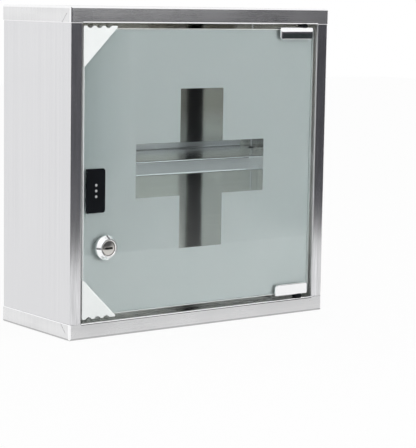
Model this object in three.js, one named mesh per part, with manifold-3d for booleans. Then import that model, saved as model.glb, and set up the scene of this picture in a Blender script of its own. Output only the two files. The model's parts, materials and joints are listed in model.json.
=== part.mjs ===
import * as THREE from 'three';
import { mergeVertices } from 'three/addons/utils/BufferGeometryUtils.js';
import Module from 'manifold-3d';

const wasm = await Module();
wasm.setup();

// All sizes are in millimetres. X runs to the right, Y runs from the front to
// the back and Z runs up. The origin is the middle of the underside.

// Overall sizes of the steel body
const WIDTH = 300;
const HEIGHT = 300;
const DEPTH = 117;

// Sheet steel
const SHEET = 0.8;
const BEND_RADIUS = 1.2;
const SIDE_BEND_RADIUS = 0.5;
const RAIL_HEIGHT = 15;
const STILE_WIDTH = 13;
const RETURN_DEPTH = 16;
const BACK_FLANGE = 10;
const WALL_HOLE_DIAMETER = 7;
const WALL_HOLE_INSET = 30;
const MITRE_START = 6;
const MITRE_GAP = 0.35;
const FOLD_LAP = 6;

// Gaps between pieces, and how far a cutter runs past the face that it cuts
const SNUG = 0.1;
const EASY = 0.15;
const RUNNING = 0.3;
const SPARE = 2;

// Shelf
const SHELF_HEIGHT = HEIGHT * 0.5255;
const SHELF_SETBACK = 18;
const SHELF_SIDE_GAP = 18;
const SHELF_FLANGE = 14.4;
const SHELF_HEM = 7;
const SHELF_UPSTAND = 6;
const SUPPORT_LEDGE = 27;
const SUPPORT_LEG = 20;
const SUPPORT_FRONT_GAP = 4;
const SUPPORT_BACK_GAP = 6;
const RIVET_DIAMETER = 3.2;
const RIVET_HEAD_DIAMETER = 6.4;
const RIVET_HEAD_HEIGHT = 1.2;
const RIVET_TAIL_DIAMETER = 4.6;
const RIVET_TAIL_HEIGHT = 2;
const RIVET_INSET = 10;

// Door glass
const GLASS = 4;
const DOOR_RECESS = 3;
const DOOR_SIDE_GAP = 3;
const DOOR_TOP_GAP = 4.6;
const DOOR_BOTTOM_GAP = 5.2;
const GLASS_BEVEL = 0.6;
const GLASS_CORNER = 1;
const FROST = 0.2;
const FROST_MARGIN = 1;
const CROSS_SPAN = 150;
const CROSS_BAR = 50;

// Push plate, strike plate and corner guards
const PUSH_INSET = 3.1;
const PUSH_WIDTH = 19.8;
const PUSH_HEIGHT = 40.3;
const PUSH_THICKNESS = 1.5;
const PUSH_RAISE = 1.2;
const PUSH_CORNER = 2.6;
const PUSH_EDGE = 0.6;
const STRIKE_WIDTH = 17;
const STRIKE_HEIGHT = 28;
const STRIKE_THICKNESS = 1;
const STRIKE_CORNER = 1.5;
const GUARD_LEG = 37.6;
const GUARD_WALL = 0.8;
const GUARD_RIM = 2.3;
const GUARD_CORNER = 1.5;
const GUARD_TIP = 0.8;
const NOTCH_RADIUS = 4;
const NOTCH_DEPTH = 2;
const NOTCH_FIRST = 7;
const NOTCH_PITCH = 9.7;
const NOTCH_COUNT = 3;

// Hinges
const HINGE_LENGTH = 40.5;
const HINGE_REACH = 9.8;
const HINGE_END_INSET = 3.3;
const HINGE_WALL = 2.3;
const HINGE_ROUND = 1.6;
const HINGE_SLOPE = 1.3;
const HINGE_SLOPE_HEIGHT = 5;
const HINGE_BLEND = 6;
const HINGE_REAR_WALL = 3.2;
const HINGE_BRIDGE = 1.1;
const HINGE_CORNER = 3.2;
const HINGE_EDGE = 0.8;
const LINER = 0.6;
const LINER_INSET = 3;
const PIVOT_INSET = 12.6;
const PIN_DIAMETER = 5;
const BUSH_DIAMETER = PIN_DIAMETER + 3;
const COLLAR_DIAMETER = BUSH_DIAMETER + 1.4;
const BUSH_RISE = 7;
const BUSH_END_WALL = 1;
const SET_SCREW_DIAMETER = 4;
const SET_SCREW_PROUD = 0.5;
const SET_SCREW_CHAMFER = 0.4;
const HEX_SOCKET_RADIUS = 1.15;
const HEX_SOCKET_DEPTH = 1.6;
const SET_SCREW_PLACES = [10, 25];

// Lock
const LOCK_INSET = 24;
const LOCK_LEVEL = HEIGHT * 0.275;
const BARREL_DIAMETER = 18;
const BEZEL_DIAMETER = BARREL_DIAMETER + 4.6;
const PLUG_DIAMETER = BARREL_DIAMETER - 4.2;
const LOCK_PROUD = 7;
const GASKET = 0.8;
const NUT_ACROSS_CORNERS = BARREL_DIAMETER * 1.5;
const NUT_THICKNESS = 3.6;
const KEY_SLOT_WIDTH = PLUG_DIAMETER * 0.6;
const KEY_SLOT_HEIGHT = 1.7;
const KEY_SLOT_DEPTH = 7;
const BEZEL_BAND = 2.2;
const BEZEL_CHAMFER = 0.8;
const SPANNER_SLOT = 1.8;
const SPANNER_SLOTS = 4;
const LIP = 0.5;
const PLUG_RECESS = 0.9;
const CAM_SCREW_DIAMETER = 4;
const CAM_SCREW_LENGTH = 7.5;
const CAM_SCREW_HEAD = 10.4;
const CAM_SCREW_HEAD_HEIGHT = 2.4;
const CAM_LENGTH = 34;
const CAM_HEEL = 7;
const CAM_WIDTH = 12;
const CAM_THICKNESS = 2;
const CAM_CLEARANCE = 1.5;
const TANG = PLUG_DIAMETER / 2;

// Push latch
const LATCH_WIDTH = 16;
const LATCH_TALL = 14.6;
const LATCH_LENGTH = 46;
const LATCH_INSET = 11.5;
const LATCH_BELOW_SHELF = 2.3;
const PLUNGER_DIAMETER = 8;
const PLUNGER_LENGTH = 29;
const SPIGOT_DIAMETER = PLUNGER_DIAMETER - 4.2;
const PLUNGER_SHOWN = 6.5;
const MAGNET_DIAMETER = PLUNGER_DIAMETER - 1.4;
const BRACKET_SHEET = 1;
const BRACKET_LEG = 20;
const LATCH_SCREW_DIAMETER = 2.9;
const LATCH_SCREW_HEAD = 5.8;
const LATCH_SCREW_HEAD_HEIGHT = 1.9;
const RECESS_WIDTH = 0.7;
const LATCH_SCREW_PLACES = [13, 33];
const LATCH_CORNER = 1.5;
const LATCH_COLLAR_DIAMETER = 12.6;
const LATCH_COLLAR_LENGTH = 2;
const LATCH_END_WALL = 3;
const BRACKET_INSET = 4;
const SPIGOT_LENGTH = 6;
const MAGNET_CUP = 3.5;
const MAGNET_PROUD = 0.5;
const SPRING_WIRE_DIAMETER = 0.7;
const SPRING_TURNS = 7;
const SPRING_STEPS_PER_TURN = 14;
const COIL_DIAMETER = PLUNGER_DIAMETER - 2.2;

// Planes and half widths that follow from the sizes above
const FRONT = -DEPTH / 2;
const BACK = DEPTH / 2;
const LAP = SHEET + SNUG;
const WALL_INSIDE = WIDTH / 2 - LAP - SHEET;
const OPENING_HALF = WIDTH / 2 - STILE_WIDTH;
const GLASS_HALF = OPENING_HALF - DOOR_SIDE_GAP;
const GLASS_TOP = HEIGHT - RAIL_HEIGHT - DOOR_TOP_GAP;
const GLASS_BOTTOM = RAIL_HEIGHT + DOOR_BOTTOM_GAP;
const GLASS_MIDDLE = (GLASS_TOP + GLASS_BOTTOM) / 2;
const GLASS_FRONT = FRONT + DOOR_RECESS;
const GLASS_BACK = GLASS_FRONT + GLASS;
const DOOR_REAR = GLASS_BACK + SNUG + FROST + EASY;
const RETURN_END = FRONT + RETURN_DEPTH;
const PIVOT_X = GLASS_HALF - PIVOT_INSET;
const PIVOT_Y = (GLASS_FRONT + GLASS_BACK) / 2;
const LOCK_X = -GLASS_HALF + LOCK_INSET;
const PUSH_LEVEL = SHELF_HEIGHT - SHELF_FLANGE - LATCH_BELOW_SHELF - LATCH_TALL / 2;

const vec = (x, y) => new THREE.Vector2(x, y);

// Points of a round corner of the given radius, and the middle of its arc.
function roundCorner(before, corner, after, radius, steps = 4) {
  const arriving = corner.clone().sub(before).normalize();
  const leaving = after.clone().sub(corner).normalize();
  const turn = Math.sign(arriving.cross(leaving));
  const angle = Math.acos(arriving.dot(leaving));
  const start = corner.clone().addScaledVector(arriving, -radius * Math.tan(angle / 2));
  const toLeft = vec(-arriving.y, arriving.x);
  const middle = start.clone().addScaledVector(toLeft, radius * turn);
  const points = [];
  for (let i = 0; i <= steps; i += 1) {
    points.push(start.clone().rotateAround(middle, (turn * angle * i) / steps));
  }
  return { middle, points };
}

// A closed outline from corners given as [across, up, radius].
function outline(corners, steps = 4) {
  const points = [];
  const count = corners.length;
  corners.forEach(([across, up, radius], i) => {
    const corner = vec(across, up);
    if (!radius) {
      points.push(corner);
      return;
    }
    const before = vec(...corners[(i + count - 1) % count].slice(0, 2));
    const after = vec(...corners[(i + 1) % count].slice(0, 2));
    points.push(...roundCorner(before, corner, after, radius, steps).points);
  });
  return new THREE.Shape(points);
}

// The cross-section of a sheet folded along a line of corners. The line is one
// face of the sheet, and the thickness lies to its left.
function foldedSheet(corners, thickness = SHEET, radius = BEND_RADIUS) {
  const line = corners.map(([across, up]) => vec(across, up));
  const near = [];
  const far = [];
  const last = line.length - 1;
  line.forEach((corner, i) => {
    if (i === 0 || i === last) {
      const from = i === 0 ? corner : line[last - 1];
      const to = i === 0 ? line[1] : corner;
      const along = to.clone().sub(from).normalize();
      near.push(corner);
      far.push(corner.clone().add(vec(-along.y, along.x).multiplyScalar(thickness)));
      return;
    }
    const arriving = corner.clone().sub(line[i - 1]);
    const leftTurn = arriving.cross(line[i + 1].clone().sub(corner)) > 0;
    const nearRadius = leftTurn ? radius + thickness : radius;
    const farRadius = leftTurn ? radius : radius + thickness;
    const bend = roundCorner(line[i - 1], corner, line[i + 1], nearRadius);
    for (const point of bend.points) {
      const spoke = point.clone().sub(bend.middle).multiplyScalar(farRadius / nearRadius);
      near.push(point);
      far.push(spoke.add(bend.middle));
    }
  });
  return new THREE.Shape([...near, ...far.reverse()]);
}

function extrude(shape, length) {
  return new THREE.ExtrudeGeometry(shape, {
    depth: length,
    bevelEnabled: false,
    curveSegments: 12,
  });
}

// Extrusions along X from a (y, z) outline, along Y from (x, z), along Z from (x, y)
const AXIS_X = new THREE.Vector3(1, 0, 0);
const AXIS_Y = new THREE.Vector3(0, 1, 0);
const AXIS_Z = new THREE.Vector3(0, 0, 1);
const BACKWARD = new THREE.Vector3(0, -1, 0);

function alongX(shape, from, to) {
  const turn = new THREE.Matrix4().makeBasis(AXIS_Y, AXIS_Z, AXIS_X);
  return extrude(shape, to - from).applyMatrix4(turn).translate(from, 0, 0);
}

function alongY(shape, from, to) {
  const turn = new THREE.Matrix4().makeBasis(AXIS_X, AXIS_Z, BACKWARD);
  return extrude(shape, to - from).applyMatrix4(turn).translate(0, to, 0);
}

function alongZ(shape, from, to) {
  return extrude(shape, to - from).translate(0, 0, from);
}

function box(x0, x1, y0, y1, z0, z1) {
  const made = new THREE.BoxGeometry(x1 - x0, y1 - y0, z1 - z0);
  return made.translate((x0 + x1) / 2, (y0 + y1) / 2, (z0 + z1) / 2);
}

function cylinderY(x, z, radius, from, to, sides = 32) {
  const made = new THREE.CylinderGeometry(radius, radius, to - from, sides);
  return made.translate(x, (from + to) / 2, z);
}

function cylinderZ(x, y, radius, from, to, sides = 24) {
  const made = new THREE.CylinderGeometry(radius, radius, to - from, sides);
  return made.rotateX(Math.PI / 2).translate(x, y, (from + to) / 2);
}

// A turned piece about Y from (radius, y) points, or about Z from (radius, z)
function turnedY(points, x, z, sides = 40) {
  const profile = points.map(([radius, along]) => vec(radius, along));
  return new THREE.LatheGeometry(profile, sides).translate(x, 0, z);
}

function turnedZ(points, x, y, sides = 24) {
  const profile = points.map(([radius, along]) => vec(radius, along));
  return new THREE.LatheGeometry(profile, sides).rotateX(Math.PI / 2).translate(x, y, 0);
}

// Welds a geometry, drops flat triangles and turns its faces outwards.
function closed(geometry) {
  const bare = new THREE.BufferGeometry();
  bare.setAttribute('position', geometry.getAttribute('position').clone());
  if (geometry.index) {
    bare.setIndex(geometry.index.clone());
  }
  const welded = mergeVertices(bare, 1e-4);
  const place = welded.getAttribute('position');
  const source = welded.index.array;
  const kept = [];
  let volume = 0;
  const a = new THREE.Vector3();
  const b = new THREE.Vector3();
  const c = new THREE.Vector3();
  for (let i = 0; i < source.length; i += 3) {
    const [p, q, r] = [source[i], source[i + 1], source[i + 2]];
    if (p === q || q === r || r === p) {
      continue;
    }
    kept.push(p, q, r);
    a.fromBufferAttribute(place, p);
    b.fromBufferAttribute(place, q);
    c.fromBufferAttribute(place, r);
    volume += a.dot(b.cross(c));
  }
  if (volume < 0) {
    for (let i = 0; i < kept.length; i += 3) {
      [kept[i + 1], kept[i + 2]] = [kept[i + 2], kept[i + 1]];
    }
  }
  welded.setIndex(kept);
  return welded;
}

function solid(geometry) {
  const shell = closed(geometry);
  return new wasm.Manifold(
    new wasm.Mesh({
      numProp: 3,
      vertProperties: new Float32Array(shell.getAttribute('position').array),
      triVerts: new Uint32Array(shell.index.array),
    }),
  );
}

function geometryOf(body) {
  const mesh = body.getMesh();
  const made = new THREE.BufferGeometry();
  made.setAttribute('position', new THREE.BufferAttribute(mesh.vertProperties, 3));
  made.setIndex(new THREE.BufferAttribute(mesh.triVerts, 1));
  return made;
}

function join(first, ...others) {
  return geometryOf(others.reduce((sum, next) => sum.add(solid(next)), solid(first)));
}

function cut(first, ...others) {
  return geometryOf(others.reduce((rest, next) => rest.subtract(solid(next)), solid(first)));
}

function common(first, ...others) {
  return geometryOf(others.reduce((rest, next) => rest.intersect(solid(next)), solid(first)));
}

// A mirror image across the plane where the named axis has the given value.
function mirrored(geometry, axis, plane) {
  const factor = { x: 1, y: 1, z: 1 };
  const shift = { x: 0, y: 0, z: 0 };
  factor[axis] = -1;
  shift[axis] = 2 * plane;
  const made = geometry.clone();
  made.scale(factor.x, factor.y, factor.z).translate(shift.x, shift.y, shift.z);
  return closed(made);
}

const cabinet = new THREE.Group();
cabinet.name = 'glass_door_cabinet';

function add(name, geometry, { color, roughness, metalness }) {
  const shell = closed(geometry);
  shell.computeVertexNormals();
  const material = new THREE.MeshStandardMaterial({ color, roughness, metalness });
  const mesh = new THREE.Mesh(shell, material);
  mesh.name = name;
  cabinet.add(mesh);
}

const STEEL = { color: 0xc9cbcd, roughness: 0.34, metalness: 1 };
const CHROME = { color: 0xdcdee0, roughness: 0.08, metalness: 1 };
const ZINC = { color: 0xc8c0a8, roughness: 0.4, metalness: 1 };
const PIN_STEEL = { color: 0x9a9c9e, roughness: 0.3, metalness: 1 };
const CLEAR_GLASS = { color: 0xdfeae6, roughness: 0.02, metalness: 0 };
const FROSTED = { color: 0xa6b2b0, roughness: 0.7, metalness: 0 };
const BLACK_PLASTIC = { color: 0x101113, roughness: 0.35, metalness: 0 };
const WHITE_PLASTIC = { color: 0xe9eaea, roughness: 0.45, metalness: 0 };
const SOFT_LINER = { color: 0xc3c8c6, roughness: 0.6, metalness: 0 };
const SOFT_RUBBER = { color: 0x2a2b2d, roughness: 0.8, metalness: 0 };
const MAGNET_METAL = { color: 0x55585b, roughness: 0.35, metalness: 1 };

// Top and bottom covers: a tray with a front rail that folds back under itself
function coverBlock(inset, run) {
  const radius = BEND_RADIUS + SHEET - inset;
  const half = WIDTH / 2 - inset;
  const front = FRONT + inset;
  const back = BACK + run;
  const top = HEIGHT - inset;
  const low = HEIGHT - RAIL_HEIGHT - run;
  const plan = outline([
    [-half, back, 0],
    [-half, front, radius],
    [half, front, radius],
    [half, back, 0],
  ]);
  const side = outline([
    [front, low, 0],
    [back, low, 0],
    [back, top, 0],
    [front, top, radius],
  ]);
  const face = outline([
    [-half, low, 0],
    [half, low, 0],
    [half, top, radius],
    [-half, top, radius],
  ]);
  return common(
    alongZ(plan, low - SPARE, top + SPARE),
    alongX(side, -half - SPARE, half + SPARE),
    alongY(face, front - SPARE, back + SPARE),
  );
}

function mitreSlit(sideSign) {
  const drop = RAIL_HEIGHT - MITRE_START + SPARE;
  const slit = new THREE.BoxGeometry(4 * SHEET, drop * Math.SQRT2, MITRE_GAP);
  slit.rotateX(-Math.PI / 4);
  const middle = MITRE_START + drop / 2;
  return slit.translate((sideSign * WIDTH) / 2, FRONT + middle, HEIGHT - middle);
}

function cover() {
  const tray = cut(coverBlock(0, 0), coverBlock(SHEET, SPARE));
  const railFoot = HEIGHT - RAIL_HEIGHT;
  const foldTop = railFoot + FOLD_LAP;
  const half = OPENING_HALF - RUNNING;
  const trim = box(-half, half, FRONT - SPARE, FRONT + SPARE, railFoot - SPARE, foldTop - SHEET);
  const trimmed = cut(tray, trim);
  const fold = foldedSheet([
    [FRONT, foldTop],
    [FRONT, railFoot],
    [RETURN_END, railFoot],
  ]);
  const folded = join(trimmed, alongX(fold, -half, half));
  const bushHole = cylinderZ(
    PIVOT_X,
    PIVOT_Y,
    BUSH_DIAMETER / 2 + EASY,
    railFoot - SPARE,
    railFoot + SHEET + SPARE,
  );
  return cut(folded, bushHole, mitreSlit(-1), mitreSlit(1));
}

const topCover = cover();
add('top_cover', topCover, STEEL);
add('bottom_cover', mirrored(topCover, 'z', HEIGHT / 2), STEEL);

// Side panels: wall, stile and return in one folded sheet
const sideSection = foldedSheet(
  [
    [-WIDTH / 2 + LAP, BACK],
    [-WIDTH / 2 + LAP, FRONT + LAP],
    [-OPENING_HALF, FRONT + LAP],
    [-OPENING_HALF, RETURN_END],
  ],
  SHEET,
  SIDE_BEND_RADIUS,
);
const bendDepth = SHEET + BEND_RADIUS;
const leftSide = alongZ(sideSection, bendDepth, HEIGHT - bendDepth);
add('left_side_panel', leftSide, STEEL);
add('right_side_panel', mirrored(leftSide, 'x', 0), STEEL);

// Back panel: a shallow pan with four wall holes
function backBlock(inset, run) {
  const radius = BEND_RADIUS + SHEET - inset;
  const half = WALL_INSIDE - SNUG - inset;
  const low = LAP + inset;
  const high = HEIGHT - LAP - inset;
  const rear = BACK - inset;
  const front = BACK - BACK_FLANGE - run;
  const plan = outline([
    [-half, front, 0],
    [half, front, 0],
    [half, rear, radius],
    [-half, rear, radius],
  ]);
  const side = outline([
    [front, low, 0],
    [rear, low, radius],
    [rear, high, radius],
    [front, high, 0],
  ]);
  return common(alongZ(plan, low - SPARE, high + SPARE), alongX(side, -half - SPARE, half + SPARE));
}

const wallHoles = [];
for (const x of [-WIDTH / 2 + WALL_HOLE_INSET, WIDTH / 2 - WALL_HOLE_INSET]) {
  for (const z of [WALL_HOLE_INSET, HEIGHT - WALL_HOLE_INSET]) {
    wallHoles.push(cylinderY(x, z, WALL_HOLE_DIAMETER / 2, BACK - SPARE, BACK + SPARE, 24));
  }
}
add('back_panel', cut(backBlock(0, 0), backBlock(SHEET, SPARE), ...wallHoles), STEEL);

// Shelf on two side supports, held by four rivets
const SHELF_FRONT = FRONT + SHELF_SETBACK;
const SHELF_BACK = BACK - 2 * SHEET - SNUG;
const SHELF_HALF = WIDTH / 2 - SHELF_SIDE_GAP;
const SUPPORT_TOP = SHELF_HEIGHT - SHEET - SNUG;
const SUPPORT_FRONT = SHELF_FRONT + SHELF_HEM + SUPPORT_FRONT_GAP;
const SUPPORT_BACK = BACK - BACK_FLANGE - SUPPORT_BACK_GAP;
const RIVET_X = (SHELF_HALF + WALL_INSIDE - SUPPORT_LEDGE) / 2;
const rivetPlaces = [
  ['left_front', -RIVET_X, SUPPORT_FRONT + RIVET_INSET],
  ['left_rear', -RIVET_X, SUPPORT_BACK - RIVET_INSET],
  ['right_front', RIVET_X, SUPPORT_FRONT + RIVET_INSET],
  ['right_rear', RIVET_X, SUPPORT_BACK - RIVET_INSET],
];
const rivetHoles = rivetPlaces.map(([, x, y]) =>
  cylinderZ(x, y, RIVET_DIAMETER / 2 + EASY, SUPPORT_TOP - SHEET - SPARE, SHELF_HEIGHT + SPARE),
);
const shelfSection = foldedSheet([
  [SHELF_BACK, SHELF_HEIGHT + SHELF_UPSTAND],
  [SHELF_BACK, SHELF_HEIGHT],
  [SHELF_FRONT, SHELF_HEIGHT],
  [SHELF_FRONT, SHELF_HEIGHT - SHELF_FLANGE],
  [SHELF_FRONT + SHELF_HEM, SHELF_HEIGHT - SHELF_FLANGE],
]);
add('shelf', cut(alongX(shelfSection, -SHELF_HALF, SHELF_HALF), ...rivetHoles), STEEL);

const supportSection = foldedSheet([
  [-WALL_INSIDE + SUPPORT_LEDGE, SUPPORT_TOP],
  [-WALL_INSIDE + SNUG, SUPPORT_TOP],
  [-WALL_INSIDE + SNUG, SUPPORT_TOP - SUPPORT_LEG],
]);
const leftSupport = alongY(supportSection, SUPPORT_FRONT, SUPPORT_BACK);
add('shelf_support_left', cut(leftSupport, ...rivetHoles), STEEL);
add('shelf_support_right', cut(mirrored(leftSupport, 'x', 0), ...rivetHoles), STEEL);

const rivetTop = SHELF_HEIGHT + SNUG;
const rivetFoot = SUPPORT_TOP - SHEET - SNUG;
const shankRadius = RIVET_DIAMETER / 2;
const headRadius = RIVET_HEAD_DIAMETER / 2;
const tailRadius = RIVET_TAIL_DIAMETER / 2;
for (const [place, x, y] of rivetPlaces) {
  const profile = [
    [0, rivetFoot - RIVET_TAIL_HEIGHT],
    [tailRadius * 0.7, rivetFoot - RIVET_TAIL_HEIGHT * 0.85],
    [tailRadius, rivetFoot - RIVET_TAIL_HEIGHT * 0.45],
    [tailRadius, rivetFoot],
    [shankRadius, rivetFoot],
    [shankRadius, rivetTop],
    [headRadius, rivetTop],
    [headRadius * 0.8, rivetTop + RIVET_HEAD_HEIGHT * 0.6],
    [headRadius * 0.45, rivetTop + RIVET_HEAD_HEIGHT * 0.92],
    [0, rivetTop + RIVET_HEAD_HEIGHT],
  ];
  add(`shelf_rivet_${place}`, turnedZ(profile, x, y, 20), PIN_STEEL);
}

// Glass pane with ground edges and a hole for the lock
const paneFace = outline([
  [-GLASS_HALF + GLASS_BEVEL, GLASS_BOTTOM + GLASS_BEVEL, GLASS_CORNER],
  [GLASS_HALF - GLASS_BEVEL, GLASS_BOTTOM + GLASS_BEVEL, GLASS_CORNER],
  [GLASS_HALF - GLASS_BEVEL, GLASS_TOP - GLASS_BEVEL, GLASS_CORNER],
  [-GLASS_HALF + GLASS_BEVEL, GLASS_TOP - GLASS_BEVEL, GLASS_CORNER],
]);
const pane = new THREE.ExtrudeGeometry(paneFace, {
  depth: GLASS - 2 * GLASS_BEVEL,
  bevelEnabled: true,
  bevelSize: GLASS_BEVEL,
  bevelThickness: GLASS_BEVEL,
  bevelSegments: 1,
});
pane.applyMatrix4(new THREE.Matrix4().makeBasis(AXIS_X, AXIS_Z, BACKWARD));
pane.translate(0, GLASS_BACK - GLASS_BEVEL, 0);
const lockHoleRadius = BARREL_DIAMETER / 2 + 2 * RUNNING;
const lockHole = cylinderY(
  LOCK_X,
  LOCK_LEVEL,
  lockHoleRadius,
  GLASS_FRONT - SPARE,
  DOOR_REAR + SPARE,
  40,
);
add('glass_pane', cut(pane, lockHole), CLEAR_GLASS);

// Frosted layer with the clear cross left open
const frostHalf = GLASS_HALF - FROST_MARGIN;
const frostFace = outline([
  [-frostHalf, GLASS_BOTTOM + FROST_MARGIN, GLASS_CORNER],
  [frostHalf, GLASS_BOTTOM + FROST_MARGIN, GLASS_CORNER],
  [frostHalf, GLASS_TOP - FROST_MARGIN, GLASS_CORNER],
  [-frostHalf, GLASS_TOP - FROST_MARGIN, GLASS_CORNER],
]);
const span = CROSS_SPAN / 2;
const bar = CROSS_BAR / 2;
const centre = HEIGHT / 2;
frostFace.holes.push(
  new THREE.Path([
    vec(-bar, centre + span),
    vec(-bar, centre + bar),
    vec(-span, centre + bar),
    vec(-span, centre - bar),
    vec(-bar, centre - bar),
    vec(-bar, centre - span),
    vec(bar, centre - span),
    vec(bar, centre - bar),
    vec(span, centre - bar),
    vec(span, centre + bar),
    vec(bar, centre + bar),
    vec(bar, centre + span),
  ]),
);
const frost = alongY(frostFace, GLASS_BACK + SNUG, GLASS_BACK + SNUG + FROST);
add('frosted_layer', cut(frost, lockHole), FROSTED);

// Push plate: a flat plate bonded to the front of the glass
const pushLeft = -GLASS_HALF + PUSH_INSET;
const pushRight = pushLeft + PUSH_WIDTH;
const pushLow = PUSH_LEVEL + PUSH_RAISE - PUSH_HEIGHT / 2;
const pushHigh = PUSH_LEVEL + PUSH_RAISE + PUSH_HEIGHT / 2;
const pushFace = outline(
  [
    [pushLeft, pushLow, PUSH_EDGE],
    [pushRight, pushLow, PUSH_CORNER],
    [pushRight, pushHigh, PUSH_CORNER],
    [pushLeft, pushHigh, PUSH_EDGE],
  ],
  6,
);
const pushRear = GLASS_FRONT - SNUG;
add('push_plate', alongY(pushFace, pushRear - PUSH_THICKNESS, pushRear), BLACK_PLASTIC);

// Strike plate for the latch magnet, bonded to the back of the glass behind the push plate
const LATCH_X = -GLASS_HALF + LATCH_INSET;
const strikeFront = DOOR_REAR;
const strikeRear = strikeFront + STRIKE_THICKNESS;
const strikeFace = outline([
  [LATCH_X - STRIKE_WIDTH / 2, PUSH_LEVEL - STRIKE_HEIGHT / 2, STRIKE_CORNER],
  [LATCH_X + STRIKE_WIDTH / 2, PUSH_LEVEL - STRIKE_HEIGHT / 2, STRIKE_CORNER],
  [LATCH_X + STRIKE_WIDTH / 2, PUSH_LEVEL + STRIKE_HEIGHT / 2, STRIKE_CORNER],
  [LATCH_X - STRIKE_WIDTH / 2, PUSH_LEVEL + STRIKE_HEIGHT / 2, STRIKE_CORNER],
]);
add('strike_plate', alongY(strikeFace, strikeFront, strikeRear), ZINC);

// Corner guards: triangular pockets with shallow scallops along one thick rim
const guardLeft = -GLASS_HALF - SNUG - GUARD_WALL;
const guardTop = GLASS_TOP + SNUG + GUARD_RIM;
const guardFront = GLASS_FRONT - EASY - GUARD_WALL;
const guardRear = DOOR_REAR + GUARD_WALL;
const guardFace = outline([
  [guardLeft, guardTop, GUARD_CORNER],
  [guardLeft, guardTop - GUARD_LEG, GUARD_TIP],
  [guardLeft + GUARD_LEG, guardTop, GUARD_TIP],
]);
const glassRoom = box(
  -GLASS_HALF - SNUG,
  GLASS_HALF,
  GLASS_FRONT - EASY,
  DOOR_REAR,
  GLASS_BOTTOM,
  GLASS_TOP + SNUG,
);
const notchLevel = guardTop + NOTCH_RADIUS - NOTCH_DEPTH;
const notches = [];
for (let i = 0; i < NOTCH_COUNT; i += 1) {
  const x = guardLeft + NOTCH_FIRST + i * NOTCH_PITCH;
  notches.push(
    cylinderY(x, notchLevel, NOTCH_RADIUS, guardFront - SPARE, guardRear + SPARE, 40),
  );
}
const topGuard = cut(alongY(guardFace, guardFront, guardRear), glassRoom, ...notches);
add('corner_guard_top', topGuard, WHITE_PLASTIC);
add('corner_guard_bottom', mirrored(topGuard, 'z', GLASS_MIDDLE), WHITE_PLASTIC);

// Hinges: a clamp on the edge of the glass, with a soft liner, a pin and set screws
const hingeRight = GLASS_HALF - HINGE_END_INSET;
const hingeLeft = hingeRight - HINGE_LENGTH;
const linerTop = GLASS_TOP + SNUG + LINER;
const slotFront = GLASS_FRONT - SNUG - LINER - SNUG;
const slotRear = DOOR_REAR + LINER + SNUG;
const slotTop = linerTop + SNUG;
const clampTop = slotTop + HINGE_BRIDGE;
const clampFoot = GLASS_TOP - HINGE_REACH;
const clampFront = slotFront - HINGE_WALL;
const clampRear = slotRear + HINGE_REAR_WALL;
const slopeFoot = clampTop - HINGE_SLOPE_HEIGHT;
const clampSection = outline(
  [
    [clampFront, clampFoot, HINGE_EDGE],
    [slotFront, clampFoot, 0],
    [slotFront, slotTop, 0],
    [slotRear, slotTop, 0],
    [slotRear, clampFoot, 0],
    [clampRear, clampFoot, 0],
    [clampRear, clampTop, HINGE_EDGE],
    [clampFront + HINGE_SLOPE, clampTop, HINGE_ROUND],
    [clampFront, slopeFoot, HINGE_BLEND],
  ],
  8,
);
const clampFace = outline(
  [
    [hingeLeft, clampFoot, HINGE_CORNER],
    [hingeRight, clampFoot, HINGE_CORNER],
    [hingeRight, clampTop, HINGE_EDGE],
    [hingeLeft, clampTop, HINGE_EDGE],
  ],
  6,
);
const clampPlan = outline(
  [
    [hingeLeft, clampFront, HINGE_ROUND],
    [hingeRight, clampFront, HINGE_ROUND],
    [hingeRight, clampRear, 0],
    [hingeLeft, clampRear, 0],
  ],
  6,
);
const setScrewLevel = (clampFoot + GLASS_TOP) / 2;
const setScrewHoles = SET_SCREW_PLACES.map((along) =>
  cylinderY(
    hingeLeft + along,
    setScrewLevel,
    SET_SCREW_DIAMETER / 2 + EASY,
    slotRear - HINGE_WALL,
    clampRear + SPARE,
    20,
  ),
);
const pinHole = cylinderZ(
  PIVOT_X,
  PIVOT_Y,
  PIN_DIAMETER / 2 + EASY,
  slotTop - SPARE,
  clampTop + SPARE,
);
const clampBody = common(
  alongX(clampSection, hingeLeft - SPARE, hingeRight + SPARE),
  alongY(clampFace, clampFront - SPARE, clampRear + SPARE),
  alongZ(clampPlan, clampFoot - SPARE, clampTop + SPARE),
);
const topClamp = cut(clampBody, ...setScrewHoles, pinHole);
add('hinge_clamp_top', topClamp, CHROME);
add('hinge_clamp_bottom', mirrored(topClamp, 'z', GLASS_MIDDLE), CHROME);

const linerFoot = clampFoot + LINER;
const linerSection = outline([
  [GLASS_FRONT - SNUG - LINER, linerFoot, 0],
  [GLASS_FRONT - SNUG, linerFoot, 0],
  [GLASS_FRONT - SNUG, GLASS_TOP + SNUG, 0],
  [DOOR_REAR, GLASS_TOP + SNUG, 0],
  [DOOR_REAR, linerFoot, 0],
  [DOOR_REAR + LINER, linerFoot, 0],
  [DOOR_REAR + LINER, linerTop, 0],
  [GLASS_FRONT - SNUG - LINER, linerTop, 0],
]);
const topLiner = alongX(linerSection, hingeLeft + LINER_INSET, hingeRight - LINER_INSET);
add('hinge_liner_top', topLiner, SOFT_LINER);
add('hinge_liner_bottom', mirrored(topLiner, 'z', GLASS_MIDDLE), SOFT_LINER);

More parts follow.
